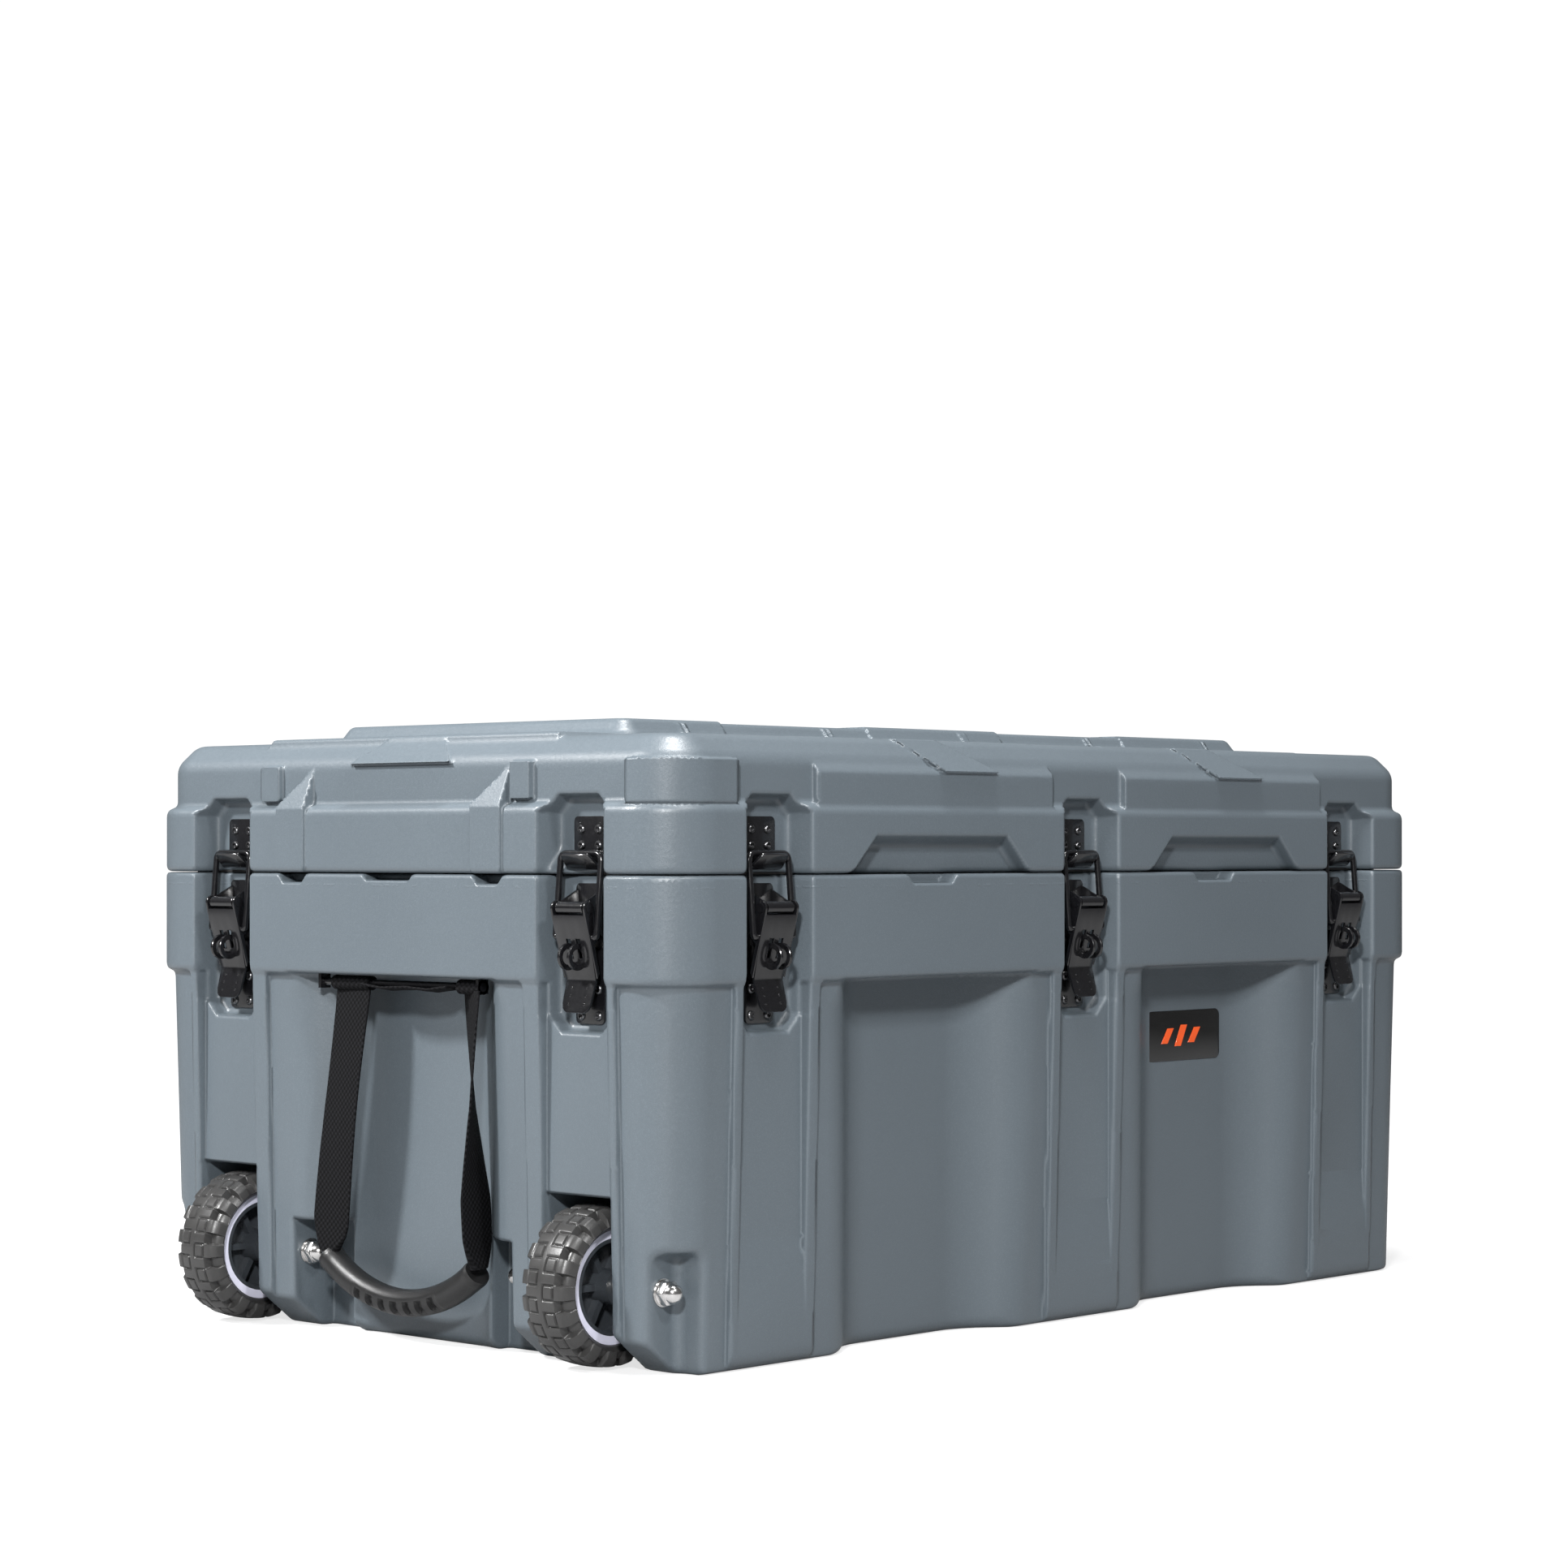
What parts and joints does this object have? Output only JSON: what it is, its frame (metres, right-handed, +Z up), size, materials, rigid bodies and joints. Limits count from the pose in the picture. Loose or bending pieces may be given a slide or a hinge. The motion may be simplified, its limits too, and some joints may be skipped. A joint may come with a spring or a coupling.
{
  "type": "wheeled storage case",
  "caption": "Rotomoulded rolling storage case with a lift-off lid held by draw latches, two wheels at one end and a webbing strap handle at each end.",
  "frame": {"origin": "on the floor under the middle of the whole object", "axes": "+Z up, X along the case with the wheels at the -X end, Y across the case"},
  "size_m": [1.016, 0.626, 0.4828],
  "materials": {
    "moulding": "satin pebbled rotomoulded polyethylene",
    "gasket": "matt closed-cell rubber",
    "badge": "gloss",
    "latch_steel": "gloss black e-coat",
    "screws": "dark plated",
    "tyre": "satin tread rubber",
    "hub": "satin moulded plastic",
    "hub_trim": "satin",
    "stainless": "polished",
    "anchor_steel": "satin black",
    "webbing": "woven polyester webbing",
    "grip": "satin moulded rubber"
  },
  "bodies": {
    "root": {"tub_front_1": "moulding", "tub_front_2": "moulding", "tub_back_1": "moulding", "tub_back_2": "moulding", "tub_wheel_end": "moulding", "tub_far_end": "moulding", "tub_floor": "moulding", "badge": "badge", "latch_brackets_front": "latch_steel", "latch_brackets_back": "latch_steel", "latch_brackets_wheel_end": "latch_steel", "latch_brackets_far_end": "latch_steel", "latch_pins": "latch_steel", "bracket_screws": "screws", "axle_bolts": "stainless", "axle_nuts": "stainless", "axle_washers": "stainless", "axle_spacers": "stainless", "strap_anchors": "anchor_steel"},
    "lid": {"lid_front": "moulding", "lid_back": "moulding", "lid_wheel_end": "moulding", "lid_far_end": "moulding", "lid_top": "moulding", "lid_gasket": "gasket", "keepers_front": "latch_steel", "keepers_back": "latch_steel", "keepers_wheel_end": "latch_steel", "keepers_far_end": "latch_steel", "keeper_screws": "screws"},
    "lever_front_1": {"lever_front_1": "latch_steel"},
    "bail_front_1": {"bail_front_1": "latch_steel"},
    "lever_front_2": {"lever_front_2": "latch_steel"},
    "bail_front_2": {"bail_front_2": "latch_steel"},
    "lever_front_3": {"lever_front_3": "latch_steel"},
    "bail_front_3": {"bail_front_3": "latch_steel"},
    "lever_back_1": {"lever_back_1": "latch_steel"},
    "bail_back_1": {"bail_back_1": "latch_steel"},
    "lever_back_2": {"lever_back_2": "latch_steel"},
    "bail_back_2": {"bail_back_2": "latch_steel"},
    "lever_back_3": {"lever_back_3": "latch_steel"},
    "bail_back_3": {"bail_back_3": "latch_steel"},
    "lever_wheel_end_1": {"lever_wheel_end_1": "latch_steel"},
    "bail_wheel_end_1": {"bail_wheel_end_1": "latch_steel"},
    "lever_wheel_end_2": {"lever_wheel_end_2": "latch_steel"},
    "bail_wheel_end_2": {"bail_wheel_end_2": "latch_steel"},
    "lever_far_end_1": {"lever_far_end_1": "latch_steel"},
    "bail_far_end_1": {"bail_far_end_1": "latch_steel"},
    "lever_far_end_2": {"lever_far_end_2": "latch_steel"},
    "bail_far_end_2": {"bail_far_end_2": "latch_steel"},
    "wheel_left": {"tyre_left": "tyre", "hub_left": "hub", "hub_trim_left": "hub_trim"},
    "wheel_right": {"tyre_right": "tyre", "hub_right": "hub", "hub_trim_right": "hub_trim"},
    "handle_wheel_end": {"strap_wheel_end": "webbing", "grip_wheel_end": "grip"},
    "handle_far_end": {"strap_far_end": "webbing", "grip_far_end": "grip"}
  },
  "joints": [
    {"name": "lid_lift", "type": "slide", "parent": "root", "child": "lid", "axis": [0, 0, 1], "range_m": [0, 0.3]},
    {"name": "lever_front_1_throw", "type": "hinge", "parent": "root", "child": "lever_front_1", "pos_m": [-0.361, -0.303, 0.34], "axis": [-1, 0, 0], "range_deg": [0, 95]},
    {"name": "bail_front_1_swing", "type": "hinge", "parent": "lever_front_1", "child": "bail_front_1", "pos_m": [-0.361, -0.2995, 0.3185], "axis": [-1, 0, 0], "range_deg": [-67, 0]},
    {"name": "lever_front_2_throw", "type": "hinge", "parent": "root", "child": "lever_front_2", "pos_m": [0.012, -0.303, 0.34], "axis": [-1, 0, 0], "range_deg": [0, 95]},
    {"name": "bail_front_2_swing", "type": "hinge", "parent": "lever_front_2", "child": "bail_front_2", "pos_m": [0.012, -0.2995, 0.3185], "axis": [-1, 0, 0], "range_deg": [-67, 0]},
    {"name": "lever_front_3_throw", "type": "hinge", "parent": "root", "child": "lever_front_3", "pos_m": [0.385, -0.303, 0.34], "axis": [-1, 0, 0], "range_deg": [0, 95]},
    {"name": "bail_front_3_swing", "type": "hinge", "parent": "lever_front_3", "child": "bail_front_3", "pos_m": [0.385, -0.2995, 0.3185], "axis": [-1, 0, 0], "range_deg": [-67, 0]},
    {"name": "lever_back_1_throw", "type": "hinge", "parent": "root", "child": "lever_back_1", "pos_m": [-0.361, 0.303, 0.34], "axis": [1, 0, 0], "range_deg": [0, 95]},
    {"name": "bail_back_1_swing", "type": "hinge", "parent": "lever_back_1", "child": "bail_back_1", "pos_m": [-0.361, 0.2995, 0.3185], "axis": [1, 0, 0], "range_deg": [-67, 0]},
    {"name": "lever_back_2_throw", "type": "hinge", "parent": "root", "child": "lever_back_2", "pos_m": [0.012, 0.303, 0.34], "axis": [1, 0, 0], "range_deg": [0, 95]},
    {"name": "bail_back_2_swing", "type": "hinge", "parent": "lever_back_2", "child": "bail_back_2", "pos_m": [0.012, 0.2995, 0.3185], "axis": [1, 0, 0], "range_deg": [-67, 0]},
    {"name": "lever_back_3_throw", "type": "hinge", "parent": "root", "child": "lever_back_3", "pos_m": [0.385, 0.303, 0.34], "axis": [1, 0, 0], "range_deg": [0, 95]},
    {"name": "bail_back_3_swing", "type": "hinge", "parent": "lever_back_3", "child": "bail_back_3", "pos_m": [0.385, 0.2995, 0.3185], "axis": [1, 0, 0], "range_deg": [-67, 0]},
    {"name": "lever_wheel_end_1_throw", "type": "hinge", "parent": "root", "child": "lever_wheel_end_1", "pos_m": [-0.474, -0.203, 0.34], "axis": [0, 1, 0], "range_deg": [0, 95]},
    {"name": "bail_wheel_end_1_swing", "type": "hinge", "parent": "lever_wheel_end_1", "child": "bail_wheel_end_1", "pos_m": [-0.4705, -0.203, 0.3185], "axis": [0, 1, 0], "range_deg": [-67, 0]},
    {"name": "lever_wheel_end_2_throw", "type": "hinge", "parent": "root", "child": "lever_wheel_end_2", "pos_m": [-0.474, 0.203, 0.34], "axis": [0, 1, 0], "range_deg": [0, 95]},
    {"name": "bail_wheel_end_2_swing", "type": "hinge", "parent": "lever_wheel_end_2", "child": "bail_wheel_end_2", "pos_m": [-0.4705, 0.203, 0.3185], "axis": [0, 1, 0], "range_deg": [-67, 0]},
    {"name": "lever_far_end_1_throw", "type": "hinge", "parent": "root", "child": "lever_far_end_1", "pos_m": [0.498, -0.203, 0.34], "axis": [0, -1, 0], "range_deg": [0, 95]},
    {"name": "bail_far_end_1_swing", "type": "hinge", "parent": "lever_far_end_1", "child": "bail_far_end_1", "pos_m": [0.4945, -0.203, 0.3185], "axis": [0, -1, 0], "range_deg": [-67, 0]},
    {"name": "lever_far_end_2_throw", "type": "hinge", "parent": "root", "child": "lever_far_end_2", "pos_m": [0.498, 0.203, 0.34], "axis": [0, -1, 0], "range_deg": [0, 95]},
    {"name": "bail_far_end_2_swing", "type": "hinge", "parent": "lever_far_end_2", "child": "bail_far_end_2", "pos_m": [0.4945, 0.203, 0.3185], "axis": [0, -1, 0], "range_deg": [-67, 0]},
    {"name": "wheel_left_roll", "type": "hinge", "parent": "root", "child": "wheel_left", "pos_m": [-0.448, 0.203, 0.061], "axis": [0, 1, 0], "continuous": true},
    {"name": "wheel_right_roll", "type": "hinge", "parent": "root", "child": "wheel_right", "pos_m": [-0.448, -0.203, 0.061], "axis": [0, 1, 0], "continuous": true},
    {"name": "handle_wheel_end_swing", "type": "hinge", "parent": "root", "child": "handle_wheel_end", "pos_m": [-0.464, 0, 0.2785], "axis": [0, 1, 0], "range_deg": [0, 88]},
    {"name": "handle_far_end_swing", "type": "hinge", "parent": "root", "child": "handle_far_end", "pos_m": [0.488, 0, 0.2785], "axis": [0, -1, 0], "range_deg": [0, 88]}
  ],
  "couplings": [
    {"joint": "bail_front_1_swing", "follows": "lever_front_1_throw", "ratio": -0.7},
    {"joint": "bail_front_2_swing", "follows": "lever_front_2_throw", "ratio": -0.7},
    {"joint": "bail_front_3_swing", "follows": "lever_front_3_throw", "ratio": -0.7},
    {"joint": "bail_back_1_swing", "follows": "lever_back_1_throw", "ratio": -0.7},
    {"joint": "bail_back_2_swing", "follows": "lever_back_2_throw", "ratio": -0.7},
    {"joint": "bail_back_3_swing", "follows": "lever_back_3_throw", "ratio": -0.7},
    {"joint": "bail_wheel_end_1_swing", "follows": "lever_wheel_end_1_throw", "ratio": -0.7},
    {"joint": "bail_wheel_end_2_swing", "follows": "lever_wheel_end_2_throw", "ratio": -0.7},
    {"joint": "bail_far_end_1_swing", "follows": "lever_far_end_1_throw", "ratio": -0.7},
    {"joint": "bail_far_end_2_swing", "follows": "lever_far_end_2_throw", "ratio": -0.7}
  ]
}
